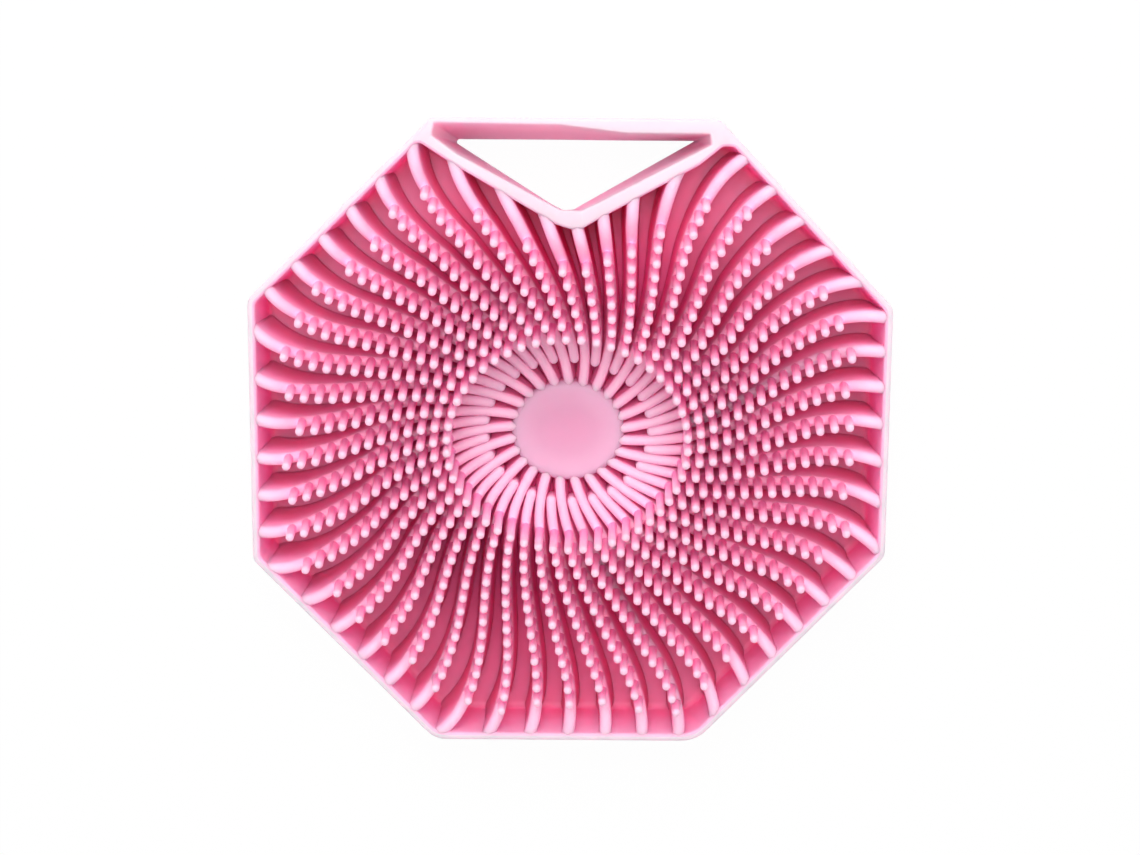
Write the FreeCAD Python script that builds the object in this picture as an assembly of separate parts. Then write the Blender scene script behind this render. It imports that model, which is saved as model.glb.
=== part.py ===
import FreeCAD, Part
import math
import os

# Octagonal silicone cleansing brush, lying on its flat back with the bristles up.
# Z = 0 is the back, +Y points to the end with the hanging slot, X runs across.

# Outline: the eight corners of the octagon, starting left of the hanging slot, clockwise.
OUTLINE = [(-16.0, 37.0), (17.0, 37.0), (37.5, 15.5), (37.5, -14.0),
           (15.5, -37.0), (-16.0, -37.0), (-37.5, -15.0), (-37.5, 16.0)]
CORNER_ROUND = [0.6, 1.6, 1.8, 1.8, 4.5, 3.2, 1.8, 1.8]
BACK_THICK = 2.0        # moulded floor of the brush
RIM_HEIGHT = 12.0       # back face to the top edge of the rim
RIM_THICK = 0.9         # wall of the octagonal rim
TIP_HEIGHT = 16.5       # back face to the bristle tips
CLEAR = 50.0            # from the middle to well outside the brush

# Hanging slot: a drafted V, wider at the bristle side than at the back.
SLOT_FRONT = [(-15.6, 36.4), (-1.2, 36.2), (6.6, 35.3), (15.9, 35.3), (16.1, 34.1),
              (3.4, 27.55), (1.2, 26.5), (-1.2, 26.6), (-3.5, 27.85), (-13.1, 32.95),
              (-15.95, 35.0)]
SLOT_BACK = [(-13.7, 34.45), (-1.0, 34.45), (6.2, 34.4), (14.8, 34.4), (14.5, 34.2),
             (1.6, 26.85), (0.3, 26.1), (-0.9, 26.0), (-2.4, 26.75), (-11.5, 32.5),
             (-13.85, 34.0)]
# Fin-side edge of the two slot walls, from the left rim to the right rim.
SLOT_WALL_EDGE = [(-17.5, 34.3), (-16.1, 33.4), (-13.1, 31.5), (-4.4, 26.5), (-1.6, 24.9),
                  (0.0, 24.4), (1.3, 24.4), (2.8, 25.3), (14.8, 31.8), (17.4, 33.9),
                  (18.7, 33.9)]
SLOT_LEFT_END = (-15.8, 35.7)
SLOT_RIGHT_END = (16.0, 34.7)
SLOT_BACK_LEFT = (-13.7, 34.2)
SLOT_BACK_RIGHT = (14.8, 34.4)
SLOT_POINT_X = 0.4      # where the two slot walls meet
SLOT_MIDDLE_Y = 34.3    # inside the slot, just under the bar
BELOW_SLOT = 20.0       # below the slot walls, among the fins
BAR_LEFT_END = (-17.9, 37.2)
BAR_RIGHT_END = (20.0, 35.7)

# Centre pad: a low oval boss.
PAD_CENTRE = (-0.2, -0.3)
PAD_HALF_X = 6.85
PAD_HALF_Y = 6.1
PAD_HEIGHT = 5.0

# Fins: 25 long ones from the pad and 25 short ones between them.
PAIRS = 25
FIN_THICK = 1.2
FACETS = 26             # along each side of a fin
LONG_START = 5.0        # radius, inside the pad, then trimmed to it
SHORT_START = 9.5
FIN_REACH = 42.0        # radius, beyond the rim, then trimmed to it
WALK_STEP = 0.05        # short step along a fin's centre line
FIRST_TURN = 1.4        # degrees clockwise of +Y, at the reference radius
REFERENCE_RADIUS = 18.0
SWEEP = (-19.5, 5.5, 5.0)   # degrees, cubic S-curve of every fin
OVAL = 0.07             # flattening of the fin pattern near the pad
OVAL_END = 26.0
OVAL_FADE = 14.0        # radius over which the flattening dies away
# The fins right of the slot stand a little further round, clear of the slot wall.
BUNCH_TURN = 2.6
BUNCH_CENTRE = 55.0
BUNCH_WIDTH = 28.0
BUNCH_START = 12.0
BUNCH_FADE = 20.0
# Fin tops: low beside the pad, rising outwards, full height next to the rim.
FIN_TOP = [(0.0, 4.6), (13.0, 5.4), (45.0, 10.9)]
FULL_HEIGHT_BAND = 2.7
DISH_CEILING = 30.0     # above everything

# Bristles: round-tipped pegs along each fin, leaning slightly towards the middle.
BRISTLE_RADIUS = 0.55
BRISTLE_PITCH = 1.62
BRISTLE_START = 13.6
BRISTLE_ROOT = 0.7      # buried in the fin
BRISTLE_LEAN = 0.0033   # slope per millimetre from the middle
BRISTLE_RIM_GAP = 3.3

os.makedirs("parts", exist_ok=True)
UP = FreeCAD.Vector(0, 0, 1)


def point(xy, z=0.0):
    return FreeCAD.Vector(xy[0], xy[1], z)


def prism(corners, low, high):
    """Straight-sided block over a closed run of corners."""
    wire = Part.makePolygon([point(c, low) for c in corners + corners[:1]])
    return Part.Face(wire).extrude(UP * (high - low))


def inset(corners, distance):
    """Clockwise polygon with every side moved inwards."""
    lines = []
    for k, start in enumerate(corners):
        end = corners[(k + 1) % len(corners)]
        length = math.dist(start, end)
        step = ((end[0] - start[0]) / length, (end[1] - start[1]) / length)
        base = (start[0] + step[1] * distance, start[1] - step[0] * distance)
        lines.append((base, step))
    moved = []
    for k, (base, step) in enumerate(lines):
        before, other = lines[k - 1]
        cross = other[0] * step[1] - other[1] * step[0]
        gap = (base[0] - before[0], base[1] - before[1])
        run = (gap[0] * step[1] - gap[1] * step[0]) / cross
        moved.append((before[0] + other[0] * run, before[1] + other[1] * run))
    return moved


def inside(corners, xy):
    """Shortest distance from a point to the sides, negative outside."""
    shape = Part.Face(Part.makePolygon([point(c) for c in corners + corners[:1]]))
    gap = shape.OuterWire.distToShape(Part.Vertex(point(xy)))[0]
    return gap if shape.isInside(point(xy), 1e-6, True) else -gap


def rounded(corners, radii, low, high):
    """Block with each upright corner rounded."""
    block = prism(corners, low, high)
    for corner, radius in zip(corners, radii):
        for edge in block.Edges:
            ends = [v.Point for v in edge.Vertexes]
            if all(math.dist((p.x, p.y), corner) < 1e-6 for p in ends):
                block = block.makeFillet(radius, [edge])
                break
    return block


def loft(front, back, low, high):
    wires = [Part.makePolygon([point(c, z) for c in ring + ring[:1]])
             for ring, z in ((back, low), (front, high))]
    return Part.makeLoft(wires, True, True)


def save(shape, name):
    shape = shape.removeSplitter()
    solids = shape.Solids
    assert len(solids) == 1 and shape.isValid(), (name, len(solids))
    solids[0].exportStep("parts/" + name + ".step")


# Hanging slot: the space between its front and back outlines.
slot = loft(SLOT_FRONT, SLOT_BACK, 0.0, RIM_HEIGHT)

# Back sheet: the flat floor that everything stands on.
body = rounded(OUTLINE, CORNER_ROUND, 0.0, RIM_HEIGHT)
floor_slab = prism([(-CLEAR, -CLEAR), (-CLEAR, CLEAR), (CLEAR, CLEAR), (CLEAR, -CLEAR)],
                   0.0, BACK_THICK)
save(body.common(floor_slab).cut(slot), "back_sheet")

# The field of fins is the octagon inside the rim, below the slot walls.
inner = inset(OUTLINE, RIM_THICK)
field = SLOT_WALL_EDGE + inner[2:]
field_block = prism(field, BACK_THICK, TIP_HEIGHT)

# Rim, slot bar and slot walls: one ring standing on the back sheet, parted at the slot.
ring = body.cut(floor_slab).cut(field_block).cut(slot)
bar_area = [BAR_LEFT_END, SLOT_LEFT_END, SLOT_BACK_LEFT, SLOT_BACK_RIGHT, SLOT_RIGHT_END,
            BAR_RIGHT_END, (BAR_RIGHT_END[0], CLEAR), (BAR_LEFT_END[0], CLEAR)]
left_area = [SLOT_LEFT_END, SLOT_WALL_EDGE[0], (SLOT_WALL_EDGE[0][0], BELOW_SLOT),
             (SLOT_POINT_X, BELOW_SLOT), (SLOT_POINT_X, SLOT_MIDDLE_Y), SLOT_BACK_LEFT]
right_area = [SLOT_RIGHT_END, SLOT_WALL_EDGE[-1], SLOT_WALL_EDGE[-2],
              (SLOT_WALL_EDGE[-2][0], BELOW_SLOT), (SLOT_POINT_X, BELOW_SLOT),
              (SLOT_POINT_X, SLOT_MIDDLE_Y), SLOT_BACK_RIGHT]
rim = ring
for name, area in (("hanging_bar", bar_area), ("slot_wall_left", left_area),
                   ("slot_wall_right", right_area)):
    block = prism(area, 0.0, RIM_HEIGHT)
    save(ring.common(block), name)
    rim = rim.cut(block)
save(rim, "rim_wall")

# Centre pad: oval boss in the middle of the floor.
oval = Part.Ellipse(point(PAD_CENTRE, BACK_THICK), PAD_HALF_X, PAD_HALF_Y).toShape()
oval_face = Part.Face(Part.Wire(oval))
save(oval_face.extrude(UP * (PAD_HEIGHT - BACK_THICK)), "centre_pad")
pad_space = oval_face.extrude(UP * TIP_HEIGHT)

# Space above the fins: a shallow dish round the pad that stops short of the rim,
# so each fin keeps a full-height heel against the rim or the slot wall.
dish_line = [FreeCAD.Vector(r, 0, z) for r, z in FIN_TOP]
dish_line += [FreeCAD.Vector(FIN_TOP[-1][0], 0, DISH_CEILING),
              FreeCAD.Vector(0, 0, DISH_CEILING)]
dish_face = Part.Face(Part.makePolygon(dish_line + dish_line[:1]))
dish = dish_face.revolve(FreeCAD.Vector(0, 0, 0), UP, 360)
dish.translate(point(PAD_CENTRE))
dish = dish.common(prism(inset(field, FULL_HEIGHT_BAND), 0.0, DISH_CEILING))


def fin_point(turn, radius):
    """Point on a fin's centre line, for its place in the round and a radius."""
    u = (radius - REFERENCE_RADIUS) / REFERENCE_RADIUS
    lead = SWEEP[0] * u + SWEEP[1] * u ** 2 + SWEEP[2] * u ** 3
    bunch = BUNCH_TURN * math.exp(-((turn - BUNCH_CENTRE) / BUNCH_WIDTH) ** 2)
    bunch *= min(1.0, max(0.0, (radius - BUNCH_START) / BUNCH_FADE))
    angle = math.radians(turn + bunch + lead)
    oval_here = OVAL * min(1.0, max(0.0, (OVAL_END - radius) / OVAL_FADE))
    return (PAD_CENTRE[0] + radius * math.sin(angle) * (1 + oval_here),
            PAD_CENTRE[1] + radius * math.cos(angle) * (1 - oval_here))


def fin_top(xy):
    """Height of the dished fin edge under a bristle."""
    radius = math.dist(xy, PAD_CENTRE)
    for (r0, z0), (r1, z1) in zip(FIN_TOP, FIN_TOP[1:]):
        if radius <= r1:
            return z0 + (z1 - z0) * (radius - r0) / (r1 - r0)
    return FIN_TOP[-1][1]


def fin_wall(turn, start):
    """Upright S-curved wall with a rounded inner nose, its sides in short facets."""
    left = []
    right = []
    for k in range(FACETS + 1):
        radius = start + (FIN_REACH - start) * k / FACETS
        here = fin_point(turn, radius)
        ahead = fin_point(turn, radius + WALK_STEP)
        length = math.dist(here, ahead)
        step = ((ahead[0] - here[0]) / length, (ahead[1] - here[1]) / length)
        half = FIN_THICK / 2
        left.append((here[0] - step[1] * half, here[1] + step[0] * half))
        right.append((here[0] + step[1] * half, here[1] - step[0] * half))
        if k == 0:
            nose = (here[0] - step[0] * half, here[1] - step[1] * half)
    sides = [point(xy, BACK_THICK) for xy in left[::-1]]
    far_side = [point(xy, BACK_THICK) for xy in right]
    tip = Part.Arc(sides[-1], point(nose, BACK_THICK), far_side[0]).toShape()
    back_run = Part.makePolygon(sides)
    out_run = Part.makePolygon(far_side)
    end = Part.makeLine(far_side[-1], sides[0])
    wire = Part.Wire(back_run.Edges + [tip] + out_run.Edges + [end])
    return Part.Face(wire).extrude(UP * (RIM_HEIGHT - BACK_THICK))


def bristle(xy):
    """Round-tipped peg rooted in the fin, turned about its own axis."""
    axis = FreeCAD.Vector(-BRISTLE_LEAN * xy[0], -BRISTLE_LEAN * xy[1], 1)
    base = point(xy, fin_top(xy)) - axis * BRISTLE_ROOT
    length = (TIP_HEIGHT - BRISTLE_RADIUS - base.z) * axis.Length
    foot = FreeCAD.Vector(0, 0, 0)
    rim = FreeCAD.Vector(BRISTLE_RADIUS, 0, 0)
    shoulder = FreeCAD.Vector(BRISTLE_RADIUS, 0, length)
    crown = FreeCAD.Vector(0, 0, length + BRISTLE_RADIUS)
    bend = BRISTLE_RADIUS * math.sqrt(0.5)
    cap = Part.Arc(shoulder, FreeCAD.Vector(bend, 0, length + bend), crown).toShape()
    edges = [Part.makeLine(foot, rim), Part.makeLine(rim, shoulder), cap,
             Part.makeLine(crown, foot)]
    peg = Part.Face(Part.Wire(edges)).revolve(FreeCAD.Vector(0, 0, 0), UP, 360)
    peg.Placement = FreeCAD.Placement(base, FreeCAD.Rotation(UP, axis))
    return peg


def bristle_places(turn):
    """Evenly spaced along the centre line until the rim or the slot wall."""
    places = []
    radius = BRISTLE_START
    last = None
    while radius < FIN_REACH:
        xy = fin_point(turn, radius)
        if last is None or math.dist(xy, last) >= BRISTLE_PITCH:
            if inside(field, xy) < BRISTLE_RIM_GAP:
                break
            places.append(xy)
            last = xy
        radius += WALK_STEP
    return places


# Long and short fins alternate round the pad, each moulded with its row of bristles.
for k in range(2 * PAIRS):
    turn = FIRST_TURN + 360.0 / (2 * PAIRS) * (k + 1)
    is_long = k % 2 == 1
    fin = fin_wall(turn, LONG_START if is_long else SHORT_START)
    fin = fin.common(field_block).cut(dish)
    if is_long:
        fin = fin.cut(pad_space)
    pieces = sorted(fin.Solids, key=lambda s: s.Volume)
    fin = pieces[-1].fuse([bristle(xy) for xy in bristle_places(turn)])
    kind = "long_fin" if is_long else "short_fin"
    save(fin, "%s_%02d" % (kind, k // 2 + 1))
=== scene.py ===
from math import cos, exp, hypot, pi, radians, sin

import bmesh
import bpy
from mathutils import Matrix, Vector


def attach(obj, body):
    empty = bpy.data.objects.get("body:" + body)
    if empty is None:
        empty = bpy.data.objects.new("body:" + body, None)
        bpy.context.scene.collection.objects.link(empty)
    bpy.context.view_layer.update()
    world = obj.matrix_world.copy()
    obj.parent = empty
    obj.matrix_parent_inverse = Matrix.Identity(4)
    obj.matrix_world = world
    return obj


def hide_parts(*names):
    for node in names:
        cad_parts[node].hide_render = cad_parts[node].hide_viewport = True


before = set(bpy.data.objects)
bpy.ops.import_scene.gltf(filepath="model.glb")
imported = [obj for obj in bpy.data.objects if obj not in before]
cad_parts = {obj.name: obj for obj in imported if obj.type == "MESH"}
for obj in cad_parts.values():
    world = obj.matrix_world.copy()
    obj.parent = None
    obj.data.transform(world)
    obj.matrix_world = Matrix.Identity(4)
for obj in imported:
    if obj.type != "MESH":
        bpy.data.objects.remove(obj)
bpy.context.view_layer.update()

# ---------------------------------------------------------------------------
# Shell: back sheet, rim, hanging bar and slot walls.
# Translucent satin silicone, compression moulded in one piece. The slot is
# cored straight through, so its walls taper from front to back.
# ---------------------------------------------------------------------------
MM = 0.001
OUTLINE = [(-16.0, 37.0), (17.0, 37.0), (37.5, 15.5), (37.5, -14.0),
           (15.5, -37.0), (-16.0, -37.0), (-37.5, -15.0), (-37.5, 16.0)]
CORNER_ROUND = [0.6, 1.6, 1.8, 1.8, 4.5, 3.2, 1.8, 1.8]
SLOT_FRONT = [(-15.6, 36.4), (-1.2, 36.2), (6.6, 35.3), (15.9, 35.3),
              (16.1, 34.1), (3.4, 27.55), (1.2, 26.5), (-1.2, 26.6),
              (-3.5, 27.85), (-13.1, 32.95), (-15.95, 35.0)]
SLOT_BACK = [(-13.7, 34.45), (-1.0, 34.45), (6.2, 34.4), (14.8, 34.4),
             (14.5, 34.2), (1.6, 26.85), (0.3, 26.1), (-0.9, 26.0),
             (-2.4, 26.75), (-11.5, 32.5), (-13.85, 34.0)]
SLOT_ROUND = [0.3, 2.0, 2.0, 0.3, 0.3, 1.5, 0.9, 0.9, 1.5, 2.0, 0.3]
SLOT_WALL_EDGE = [(-17.5, 34.3), (-16.1, 33.4), (-13.1, 31.5), (-4.4, 26.5),
                  (-1.6, 24.9), (0.0, 24.4), (1.3, 24.4), (2.8, 25.3),
                  (14.8, 31.8), (17.4, 33.9), (18.7, 33.9)]
BACK_THICK = 2.0
RIM_HEIGHT = 12.0
RIM_THICK = 0.9
TOP_ROUND = 0.36
BACK_ROUND = 0.8
ROOT_FILLET = 0.8
ROUND_STEPS = 5
EDGE_STEPS = 4


def inset(corners, distance):
    """A clockwise outline with every side moved inwards."""
    moved = []
    for i, here in enumerate(corners):
        before = Vector(corners[i - 1])
        here = Vector(here)
        after = Vector(corners[(i + 1) % len(corners)])
        along_in = (here - before).normalized()
        along_out = (after - here).normalized()
        across_in = Vector((along_in.y, -along_in.x))
        across_out = Vector((along_out.y, -along_out.x))
        middle = (across_in + across_out).normalized()
        moved.append(here + middle * distance / max(middle.dot(across_in), 0.4))
    return moved


def rounded(corners, radii, distance=0.0):
    """The outline moved inwards by a distance, with each corner rounded."""
    corners = inset(corners, distance)
    loop = []
    for i, (corner, radius) in enumerate(zip(corners, radii)):
        before = corners[i - 1] - corner
        after = corners[(i + 1) % len(corners)] - corner
        bend = (pi - before.angle(after)) / 2
        reach = max(radius - distance, 0.25) * sin(bend) / max(cos(bend), 0.1)
        reach = min(reach, before.length * 0.45, after.length * 0.45)
        start = corner + before.normalized() * reach
        end = corner + after.normalized() * reach
        for step in range(ROUND_STEPS + 1):
            t = step / ROUND_STEPS
            loop.append(start * (1 - t) ** 2 + corner * 2 * t * (1 - t) + end * t ** 2)
    return loop


def add_loop(mesh, points, height):
    return [mesh.verts.new((p[0] * MM, p[1] * MM, height * MM)) for p in points]


def bridge(mesh, lower, upper, closed=True):
    """A band of faces between two rings with the same number of points."""
    count = len(lower)
    faces = []
    for i in range(count if closed else count - 1):
        j = (i + 1) % count
        faces.append(mesh.faces.new((lower[i], lower[j], upper[j], upper[i])))
    return faces


def fill_between(mesh, *loops):
    """A flat face across the outer loop that leaves the inner loops open."""
    edges = []
    for loop in loops:
        for i, vert in enumerate(loop):
            other = loop[(i + 1) % len(loop)]
            edges.append(mesh.edges.get((vert, other)) or mesh.edges.new((vert, other)))
    made = bmesh.ops.triangle_fill(mesh, use_beauty=True, edges=edges)
    return [item for item in made["geom"] if isinstance(item, bmesh.types.BMFace)]


def finish_piece(mesh, name, materials, nodes):
    """Puts a mesh in the scene as a silicone piece of the moulding."""
    bmesh.ops.recalc_face_normals(mesh, faces=mesh.faces[:])
    for face in mesh.faces:
        face.smooth = True
    data = bpy.data.meshes.new(name)
    mesh.to_mesh(data)
    mesh.free()
    for material in materials:
        data.materials.append(material)
    piece = bpy.data.objects.new(name, data)
    bpy.context.scene.collection.objects.link(piece)
    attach(piece, "root")
    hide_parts(*nodes)
    return piece


class Wire:
    """A socket in a material; sums written on it add their Math nodes."""

    def __init__(self, tree, socket=None):
        self.tree = tree
        self.socket = socket

    def node(self, kind, settings=None, inputs=None, output=0):
        made = self.tree.nodes.new(kind)
        for name, value in (settings or {}).items():
            if name == "stops":
                ramp = made.color_ramp
                ramp.elements.remove(ramp.elements[1])
                ramp.elements[0].position = value[0][0]
                ramp.elements[0].color = value[0][1]
                for place, colour in value[1:]:
                    ramp.elements.new(place).color = colour
            else:
                setattr(made, name, value)
        for name, value in (inputs or {}).items():
            if isinstance(value, Wire):
                self.tree.links.new(value.socket, made.inputs[name])
            else:
                made.inputs[name].default_value = value
        return Wire(self.tree, made.outputs[output] if made.outputs else None)

    def sum(self, operation, first, second):
        return self.node("ShaderNodeMath", {"operation": operation}, {0: first, 1: second})

    def __add__(self, other):
        return self.sum("ADD", self, other)

    def __sub__(self, other):
        return self.sum("SUBTRACT", self, other)

    def __rsub__(self, other):
        return self.sum("SUBTRACT", other, self)

    def __mul__(self, other):
        return self.sum("MULTIPLY", self, other)

    __radd__ = __add__
    __rmul__ = __mul__


def colour(code):
    """A colour given as two hexadecimal digits each of red, green and blue."""
    parts = [int(code[i:i + 2], 16) / 255 for i in (0, 2, 4)]
    return tuple(p / 12.92 if p <= 0.04045 else ((p + 0.055) / 1.055) ** 2.4
                 for p in parts) + (1.0,)


FULL_HEIGHT = 16.5


DEPTH_START = -6.0
DEPTH_SPAN = 16.0


def silicone(name, levels, painted_glow_colour, painted_glow_share, roughness, from_crest=False):
    """Satin silicone with painted shade and painted glow in its colour: deeper low down as
    painted shade between walls and fins, paler high up and towards the sides as painted glow of
    light carried through the silicone.
    Levels are heights above the back, or else depths below a fin's crest."""
    material = bpy.data.materials.new(name)
    material.use_nodes = True
    material.node_tree.nodes.clear()
    wire = Wire(material.node_tree)
    place = wire.node("ShaderNodeTexCoord", output="Object")
    axes = wire.node("ShaderNodeSeparateXYZ", inputs={0: place})
    # Painted shade: the colour ramp runs deeper and redder with depth, low in the well and down
    # the sides of a fin.
    if from_crest:
        depth = wire.node("ShaderNodeAttribute", {"attribute_name": "below_crest"}, output="Fac")
        share = (depth - DEPTH_START) * (1 / DEPTH_SPAN)
        stops = [((level - DEPTH_START) / DEPTH_SPAN, colour(code)) for level, code in levels]
    else:
        share = Wire(wire.tree, axes.socket.node.outputs["Z"]) * (1 / (FULL_HEIGHT * MM))
        stops = [(level / FULL_HEIGHT, colour(code)) for level, code in levels]
    tint_with_painted_shade = wire.node("ShaderNodeValToRGB", {"stops": stops}, {"Fac": share})
    # Painted glow: the colour pales towards the outer walls, where light shines through the thin
    # silicone.
    flat = wire.node("ShaderNodeVectorMath", {"operation": "MULTIPLY"},
                     {0: place, 1: (1.15, 0.95, 0.0)})
    reach = wire.node("ShaderNodeVectorMath", {"operation": "LENGTH"}, {0: flat}, "Value")
    side = wire.node("ShaderNodeMapRange", {"interpolation_type": "SMOOTHSTEP"},
                     {"Value": reach, "From Min": 15 * MM, "From Max": 39 * MM,
                      "To Max": painted_glow_share})
    tint_with_painted_shade = wire.node("ShaderNodeMix", {"data_type": "RGBA"},
                     {"Factor": side, 6: tint_with_painted_shade, 7: colour(painted_glow_colour)}, 2)
    cloud = wire.node("ShaderNodeTexNoise", inputs={"Vector": place, "Scale": 160.0,
                                                   "Detail": 3.0})
    tint_with_painted_shade = wire.node("ShaderNodeMix", {"data_type": "RGBA", "blend_type": "SOFT_LIGHT"},
                     {"Factor": 0.10, 6: tint_with_painted_shade,
                      7: wire.node("ShaderNodeValToRGB",
                                   {"stops": [(0.3, colour("707070")),
                                              (0.7, colour("D8D8D8"))]},
                                   {"Fac": cloud})}, 2)
    grain = wire.node("ShaderNodeTexNoise", inputs={"Vector": place, "Scale": 2600.0,
                                                    "Detail": 2.0})
    bump = wire.node("ShaderNodeBump", inputs={"Height": grain, "Strength": 0.06,
                                               "Distance": 0.05 * MM})
    skin = wire.node("ShaderNodeBsdfPrincipled", {"subsurface_method": "BURLEY"}, {
        "Base Color": tint_with_painted_shade,
        "Roughness": cloud * 0.10 + roughness,
        "IOR": 1.41,
        "Subsurface Weight": 0.9,
        "Subsurface Radius": (1.0, 0.32, 0.48),
        "Subsurface Scale": 2.8 * MM,
        "Normal": bump,
    })
    wire.node("ShaderNodeOutputMaterial", inputs={"Surface": skin})
    return material


# Painted shade and glow: deeper pink low on the walls as painted shade, paler at the rim top and
# towards the sides as painted glow.
shell_silicone = silicone(
    "shell_silicone",
    [(0.0, "FFA0CC"), (6.0, "FFA0CC"), (9.0, "FFB4D6"), (11.3, "EAC2D4"), (11.9, "E0C8D5")],
    "E9D8E1", 0.5, 0.42)
# Painted shade: crimson on the well floor between the fins, paling up the walls, and paler
# towards the sides as painted glow.
well_silicone = silicone(
    "well_silicone",
    [(1.5, "FF147C"), (4.0, "FF64AC"), (7.0, "FFB4DA"), (12.0, "E2CAD6")],
    "FFB4DA", 0.6, 0.42)

field_corners = SLOT_WALL_EDGE + [tuple(p) for p in inset(OUTLINE, RIM_THICK)][2:]
field_round = [0.8] * len(SLOT_WALL_EDGE) + [max(r - RIM_THICK, 1.2) for r in CORNER_ROUND[2:]]

shell = bmesh.new()
outer_rings = []
for step in range(EDGE_STEPS + 1):
    turn = step / EDGE_STEPS * pi / 2
    outer_rings.append(add_loop(
        shell, rounded(OUTLINE, CORNER_ROUND, BACK_ROUND * (1 - sin(turn))),
        BACK_ROUND * (1 - cos(turn))))
for step in range(EDGE_STEPS + 1):
    turn = step / EDGE_STEPS * pi / 2
    outer_rings.append(add_loop(
        shell, rounded(OUTLINE, CORNER_ROUND, TOP_ROUND * (1 - cos(turn))),
        RIM_HEIGHT - TOP_ROUND * (1 - sin(turn))))
for lower, upper in zip(outer_rings, outer_rings[1:]):
    bridge(shell, lower, upper)


def slot_at(height, grow):
    """The slot's outline at a height, its corners pushed out by a distance."""
    share = height / RIM_HEIGHT
    corners = [Vector(back) * (1 - share) + Vector(front) * share
               for back, front in zip(SLOT_BACK, SLOT_FRONT)]
    return rounded(corners, SLOT_ROUND, -grow)


slot_rings = []
for step in range(EDGE_STEPS + 1):
    turn = step / EDGE_STEPS * pi / 2
    slot_rings.append(add_loop(shell, slot_at(0.0, TOP_ROUND * (1 - sin(turn))),
                               TOP_ROUND * (1 - cos(turn))))
for level in (3.0, 6.0, 9.0):
    slot_rings.append(add_loop(shell, slot_at(level, 0.0), level))
for step in range(EDGE_STEPS + 1):
    turn = step / EDGE_STEPS * pi / 2
    slot_rings.append(add_loop(
        shell, slot_at(RIM_HEIGHT, TOP_ROUND * 0.6 * (1 - cos(turn))),
        RIM_HEIGHT - TOP_ROUND * (1 - sin(turn))))
for lower, upper in zip(slot_rings, slot_rings[1:]):
    bridge(shell, lower, upper)

well_rings = []
for step in range(EDGE_STEPS + 1):
    turn = step / EDGE_STEPS * pi / 2
    well_rings.append(add_loop(
        shell, rounded(field_corners, field_round, ROOT_FILLET * (1 - sin(turn))),
        BACK_THICK + ROOT_FILLET * (1 - cos(turn))))
for level in (5.0, 8.0):
    well_rings.append(add_loop(shell, rounded(field_corners, field_round), level))
for step in range(EDGE_STEPS + 1):
    turn = step / EDGE_STEPS * pi / 2
    well_rings.append(add_loop(
        shell, rounded(field_corners, field_round, -TOP_ROUND * 0.9 * (1 - cos(turn))),
        RIM_HEIGHT - TOP_ROUND * (1 - sin(turn))))
well_faces = []
for lower, upper in zip(well_rings, well_rings[1:]):
    well_faces += bridge(shell, lower, upper)
well_faces += fill_between(shell, well_rings[0])
fill_between(shell, outer_rings[-1], slot_rings[-1], well_rings[-1])
fill_between(shell, outer_rings[0], slot_rings[0])
for face in well_faces:
    face.material_index = 1
shell_piece = finish_piece(
    shell, "moulded_shell", [shell_silicone, well_silicone],
    ["back_sheet", "rim_wall", "hanging_bar", "slot_wall_left", "slot_wall_right"])
shading = shell_piece.modifiers.new("flat_land_shading", "WEIGHTED_NORMAL")
shading.weight = 90
shading.keep_sharp = True

# ---------------------------------------------------------------------------
# Centre pad: a low oval boss of the same silicone, slightly dished on top.
# Moulded with the back sheet; the inner fins run out against its edge.
# ---------------------------------------------------------------------------
PAD_CENTRE = (-0.2, -0.3)
PAD_HALF_X = 6.85
PAD_HALF_Y = 6.1
PAD_HEIGHT = 5.0
PAD_DISH = 0.35
PAD_EDGE = 0.7
PAD_SIDES = 96

# Painted shade: deeper pink at the pad's foot by the floor, paler on its dished top.
pad_silicone = silicone(
    "pad_silicone",
    [(1.5, "FD6BA4"), (4.2, "E88CB4"), (4.75, "DCA0BE"), (5.0, "E4AECA")],
    "E9B0CC", 0.0, 0.45)


def oval_ring(mesh, inset_by, height):
    ring = []
    for side in range(PAD_SIDES):
        turn = side / PAD_SIDES * 2 * pi
        ring.append((PAD_CENTRE[0] + (PAD_HALF_X - inset_by) * cos(turn),
                     PAD_CENTRE[1] + (PAD_HALF_Y - inset_by) * sin(turn)))
    return add_loop(mesh, ring, height)


pad = bmesh.new()
pad_rings = [oval_ring(pad, -0.35, BACK_THICK - 0.2), oval_ring(pad, 0.0, BACK_THICK + 0.5)]
for step in range(EDGE_STEPS + 2):
    turn = step / (EDGE_STEPS + 1) * pi / 2
    pad_rings.append(oval_ring(pad, PAD_EDGE * (1 - cos(turn)),
                               PAD_HEIGHT - PAD_EDGE * (1 - sin(turn))))
for step in range(1, 9):
    share = step / 9
    pad_rings.append(oval_ring(pad, PAD_EDGE + (PAD_HALF_Y - PAD_EDGE) * share * 0.97,
                               PAD_HEIGHT - PAD_DISH * sin(share * pi / 2) ** 1.3))
for lower, upper in zip(pad_rings, pad_rings[1:]):
    bridge(pad, lower, upper)
fill_between(pad, pad_rings[0])
fill_between(pad, pad_rings[-1])
finish_piece(pad, "centre_pad", [pad_silicone], ["centre_pad"])

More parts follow.
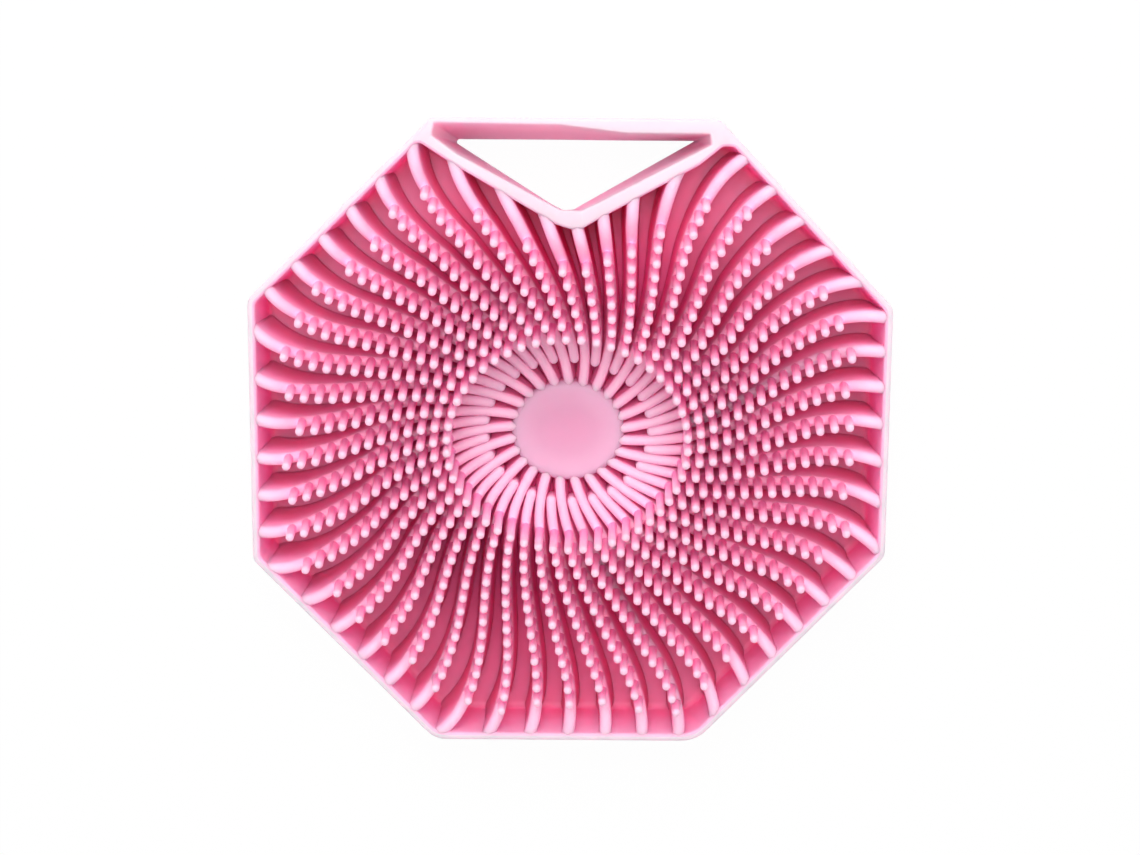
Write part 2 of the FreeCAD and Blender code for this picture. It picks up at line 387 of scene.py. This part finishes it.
# ---------------------------------------------------------------------------
# Fins and bristles: 25 long and 25 short curved fins, each with a row of
# round-tipped bristles on its crest. Soft silicone, moulded with the sheet;
# every fin has a flared root, a rounded crest and a tall heel at the rim.
# ---------------------------------------------------------------------------
PAIRS = 25
FIN_THICK = 1.2
LONG_START = 5.6
SHORT_START = 9.5
FIRST_TURN = 1.4
REFERENCE_RADIUS = 18.0
SWEEP = (-19.5, 5.5, 5.0)
OVAL = 0.07
OVAL_END = 26.0
OVAL_SPAN = 14.0
BUNCH_TURN = 2.6
BUNCH_CENTRE = 55.0
BUNCH_WIDTH = 28.0
BUNCH_START = 12.0
BUNCH_SPAN = 20.0
FIN_TOP = [(0.0, 4.6), (13.0, 5.4), (45.0, 10.9)]
HEEL_INNER = 7.5
HEEL_OUTER = 0.8
HEEL_WIDENING = 0.12
FIN_STEP = 0.4
FIN_REACH = 46.0
INTO_WALL = 0.45
BRISTLE_RADIUS = 0.5
BRISTLE_PITCH = 1.62
BRISTLE_START = 13.6
BRISTLE_LEAN = 0.0033
BRISTLE_RIM_GAP = 3.3
BRISTLE_SIDES = 12
BRISTLE_FOOT_DEPTH = -0.3

# Painted shade and highlight: fin sides deepen to crimson below the crest, a thin painted
# highlight runs along the crest, bristle stems are painted pale against their shade, and colours
# pale towards the sides as painted glow.
fin_silicone = silicone(
    "fin_silicone",
    [(-6.0, "F6C8DC"), (-5.3, "FCCBE0"), (-4.0, "FFC8E4"), (-0.3, "FFA2D4"),
     (0.0, "FFCAE2"), (1.2, "FFA8D2"), (4.0, "FF60AC"), (8.0, "FF1C84")],
    "FFC4E2", 0.42, 0.40, from_crest=True)


def fin_point(turn, radius):
    """A point on a fin's centre line at a radius from the pad's centre."""
    u = (radius - REFERENCE_RADIUS) / REFERENCE_RADIUS
    lead = SWEEP[0] * u + SWEEP[1] * u ** 2 + SWEEP[2] * u ** 3
    onset = min(max((radius - BUNCH_START) / BUNCH_SPAN, 0.0), 1.0)
    bunch = BUNCH_TURN * exp(-((turn - BUNCH_CENTRE) / BUNCH_WIDTH) ** 2) * onset
    angle = radians(turn + bunch + lead)
    oval = OVAL * min(max((OVAL_END - radius) / OVAL_SPAN, 0.0), 1.0)
    return Vector((PAD_CENTRE[0] + radius * sin(angle) * (1 + oval),
                   PAD_CENTRE[1] + radius * cos(angle) * (1 - oval)))


def room(point):
    """Distance to the well's wall, below zero beyond it."""
    nearest = 1e9
    inside = False
    for i, corner in enumerate(field_corners):
        a = Vector(field_corners[i - 1])
        b = Vector(corner)
        side = b - a
        share = min(max((point - a).dot(side) / side.length_squared, 0.0), 1.0)
        nearest = min(nearest, (a + side * share - point).length)
        if (a.y > point.y) != (b.y > point.y):
            if point.x < a.x + (point.y - a.y) / (b.y - a.y) * (b.x - a.x):
                inside = not inside
    return nearest if inside else -nearest


def heel_share(point):
    """From 0 on the dished part of a fin to 1 where its heel meets the rim."""
    share = min(max((HEEL_INNER - room(point)) / (HEEL_INNER - HEEL_OUTER), 0.0), 1.0)
    return share * share * (3 - 2 * share)


def crest_height(point):
    """Height of the dished fin edge, with its rise to the heel."""
    radius = hypot(point.x - PAD_CENTRE[0], point.y - PAD_CENTRE[1])
    height = FIN_TOP[-1][1]
    for (r0, h0), (r1, h1) in zip(FIN_TOP, FIN_TOP[1:]):
        if r0 <= radius <= r1:
            height = h0 + (h1 - h0) * (radius - r0) / (r1 - r0)
    return height + (RIM_HEIGHT - 0.05 - height) * heel_share(point)


def add_section(mesh, depth, centre, ahead, half, top):
    """One upright slice of a fin: flared root, flat sides, round crest.
    Where the fin runs into the rim, its corners stop inside the wall."""
    across = Vector((ahead.y, -ahead.x))
    outline = [(half + 0.45, BACK_THICK - 0.15), (half + 0.18, BACK_THICK + 0.35),
               (half, BACK_THICK + 0.9)]
    for step in range(5):
        turn = step / 8 * pi
        outline.append((half * cos(turn), top - half + half * sin(turn)))
    outline += [(-x, z) for x, z in reversed(outline[:-1])]
    ring = []
    for x, z in outline:
        spot = centre + across * x
        for _ in range(4):
            spot -= ahead * max(-INTO_WALL - room(spot), 0.0)
        ring.append(mesh.verts.new((spot.x * MM, spot.y * MM, z * MM)))
        ring[-1][depth] = top - z
    return ring


def add_bristle(mesh, depth, foot, base):
    """A round peg with a small collar where it grows from the crest."""
    axis = Vector((-BRISTLE_LEAN * foot.x, -BRISTLE_LEAN * foot.y, 1.0)).normalized()
    frame_x = axis.orthogonal().normalized()
    frame_y = axis.cross(frame_x)
    start = Vector((foot.x, foot.y, base))
    length = (FULL_HEIGHT - base) / axis.z
    profile = [(0.0, 0.58), (0.8, 0.57), (1.3, 0.52), (2.2, BRISTLE_RADIUS),
               (length - BRISTLE_RADIUS, BRISTLE_RADIUS * 0.97)]
    for step in range(1, 4):
        turn = step / 4 * pi / 2
        profile.append((length - BRISTLE_RADIUS + BRISTLE_RADIUS * 0.97 * sin(turn),
                        BRISTLE_RADIUS * 0.97 * cos(turn)))
    rings = []
    for along, radius in profile:
        ring = []
        for side in range(BRISTLE_SIDES):
            turn = side / BRISTLE_SIDES * 2 * pi
            spot = start + axis * along + (frame_x * cos(turn) + frame_y * sin(turn)) * radius
            ring.append(mesh.verts.new(spot * MM))
            ring[-1][depth] = min(DEPTH_START + length - along, BRISTLE_FOOT_DEPTH)
        rings.append(ring)
    for lower, upper in zip(rings, rings[1:]):
        bridge(mesh, lower, upper)
    tip = mesh.verts.new((start + axis * (length - 0.01)) * MM)
    tip[depth] = DEPTH_START
    for i, vert in enumerate(rings[-1]):
        mesh.faces.new((vert, rings[-1][(i + 1) % BRISTLE_SIDES], tip))
    mesh.faces.new(list(reversed(rings[0])))


def make_fin(name, turn, start):
    mesh = bmesh.new()
    depth = mesh.verts.layers.float.new("below_crest")
    line = []
    radius = start
    while radius < FIN_REACH:
        point = fin_point(turn, radius)
        line.append(point)
        if room(point) < -INTO_WALL:
            break
        radius += FIN_STEP
    half = FIN_THICK / 2
    sections = []
    ahead = (line[1] - line[0]).normalized()
    for share in (0.98, 0.85, 0.6, 0.3):
        nose = line[0] - ahead * half * share
        narrow = half * (1 - share ** 2) ** 0.5
        sections.append(add_section(mesh, depth, nose, ahead, narrow,
                                    crest_height(line[0]) - (half - narrow)))
    for i, point in enumerate(line):
        ahead = (line[min(i + 1, len(line) - 1)] - line[max(i - 1, 0)]).normalized()
        sections.append(add_section(mesh, depth, point, ahead,
                                    half + HEEL_WIDENING * heel_share(point),
                                    crest_height(point)))
    for lower, upper in zip(sections, sections[1:]):
        bridge(mesh, lower, upper)
    mesh.faces.new(sections[0])
    mesh.faces.new(list(reversed(sections[-1])))
    travelled = 0.0
    radius = BRISTLE_START
    point = fin_point(turn, radius)
    while radius < FIN_REACH:
        if room(point) < BRISTLE_RIM_GAP:
            break
        add_bristle(mesh, depth, point, crest_height(point) - 0.7)
        travelled = 0.0
        while travelled < BRISTLE_PITCH:
            radius += 0.02
            following = fin_point(turn, radius)
            travelled += (following - point).length
            point = following
    finish_piece(mesh, name, [fin_silicone], [name])


for k in range(2 * PAIRS):
    turn = FIRST_TURN + 360.0 / (2 * PAIRS) * (k + 1)
    if k % 2:
        make_fin(f"long_fin_{k // 2 + 1:02d}", turn, LONG_START)
    else:
        make_fin(f"short_fin_{k // 2 + 1:02d}", turn, SHORT_START)

# ---------------------------------------------------------------------------
# Floor, light and camera: the brush lies on its back on a plain white table
# under soft studio light, seen from nearly straight above.
# ---------------------------------------------------------------------------
FLOOR_HALF = 1.2

floor_mesh = bmesh.new()
corners = [(-FLOOR_HALF, -FLOOR_HALF), (FLOOR_HALF, -FLOOR_HALF),
           (FLOOR_HALF, FLOOR_HALF), (-FLOOR_HALF, FLOOR_HALF)]
floor_mesh.faces.new([floor_mesh.verts.new((x, y, -0.00005)) for x, y in corners])
floor_data = bpy.data.meshes.new("table_top")
floor_mesh.to_mesh(floor_data)
floor_mesh.free()
floor_material = bpy.data.materials.new("white_table")
floor_material.use_nodes = True
floor_material.node_tree.nodes.clear()
floor_wire = Wire(floor_material.node_tree)
floor_paint = floor_wire.node("ShaderNodeBsdfDiffuse", inputs={"Color": (0.86, 0.86, 0.86, 1.0)})
floor_white = floor_wire.node("ShaderNodeEmission", inputs={"Color": (1.0, 1.0, 1.0, 1.0)})
seen = floor_wire.node("ShaderNodeLightPath", output="Is Camera Ray")
floor_wire.node("ShaderNodeOutputMaterial", inputs={
    "Surface": floor_wire.node("ShaderNodeMixShader", inputs={
        0: seen * 0.97, 1: floor_paint, 2: floor_white})})
floor_data.materials.append(floor_material)
floor = bpy.data.objects.new("table_top", floor_data)
bpy.context.scene.collection.objects.link(floor)


def soft_lamp(name, place, size, power):
    lamp_data = bpy.data.lights.new(name, "AREA")
    lamp_data.shape = "DISK"
    lamp_data.size = size
    lamp_data.energy = power
    lamp = bpy.data.objects.new(name, lamp_data)
    lamp.visible_camera = False
    lamp.location = place
    lamp.rotation_mode = "QUATERNION"
    lamp.rotation_quaternion = (-Vector(place)).to_track_quat("-Z", "Y")
    bpy.context.scene.collection.objects.link(lamp)


soft_lamp("top_softbox", (-0.05, 0.42, 0.50), 0.4, 2.0)
soft_lamp("overhead_softbox", (0.0, 0.09, 0.33), 0.16, 0.48)

world = bpy.data.worlds.new("studio")
bpy.context.scene.world = world
world.use_nodes = True
world.node_tree.nodes.clear()
sky = Wire(world.node_tree)
bare = sky.node("ShaderNodeLightPath", output="Is Camera Ray")
sky.node("ShaderNodeOutputWorld", inputs={
    "Surface": sky.node("ShaderNodeBackground", inputs={
        "Color": (1.0, 1.0, 1.0, 1.0), "Strength": bare * 0.46 + 0.54})})

camera_data = bpy.data.cameras.new("camera")
camera_data.sensor_width = 36.0
camera_data.lens = 58.421
camera_data.clip_start = 0.01
camera = bpy.data.objects.new("camera", camera_data)
camera.location = (0.001604, 0.036813, 0.225790)
camera.rotation_euler = (radians(-9.4372), radians(0.4583), radians(0.3293))
bpy.context.scene.collection.objects.link(camera)
bpy.context.scene.camera = camera
bpy.context.scene.view_settings.view_transform = "Standard"
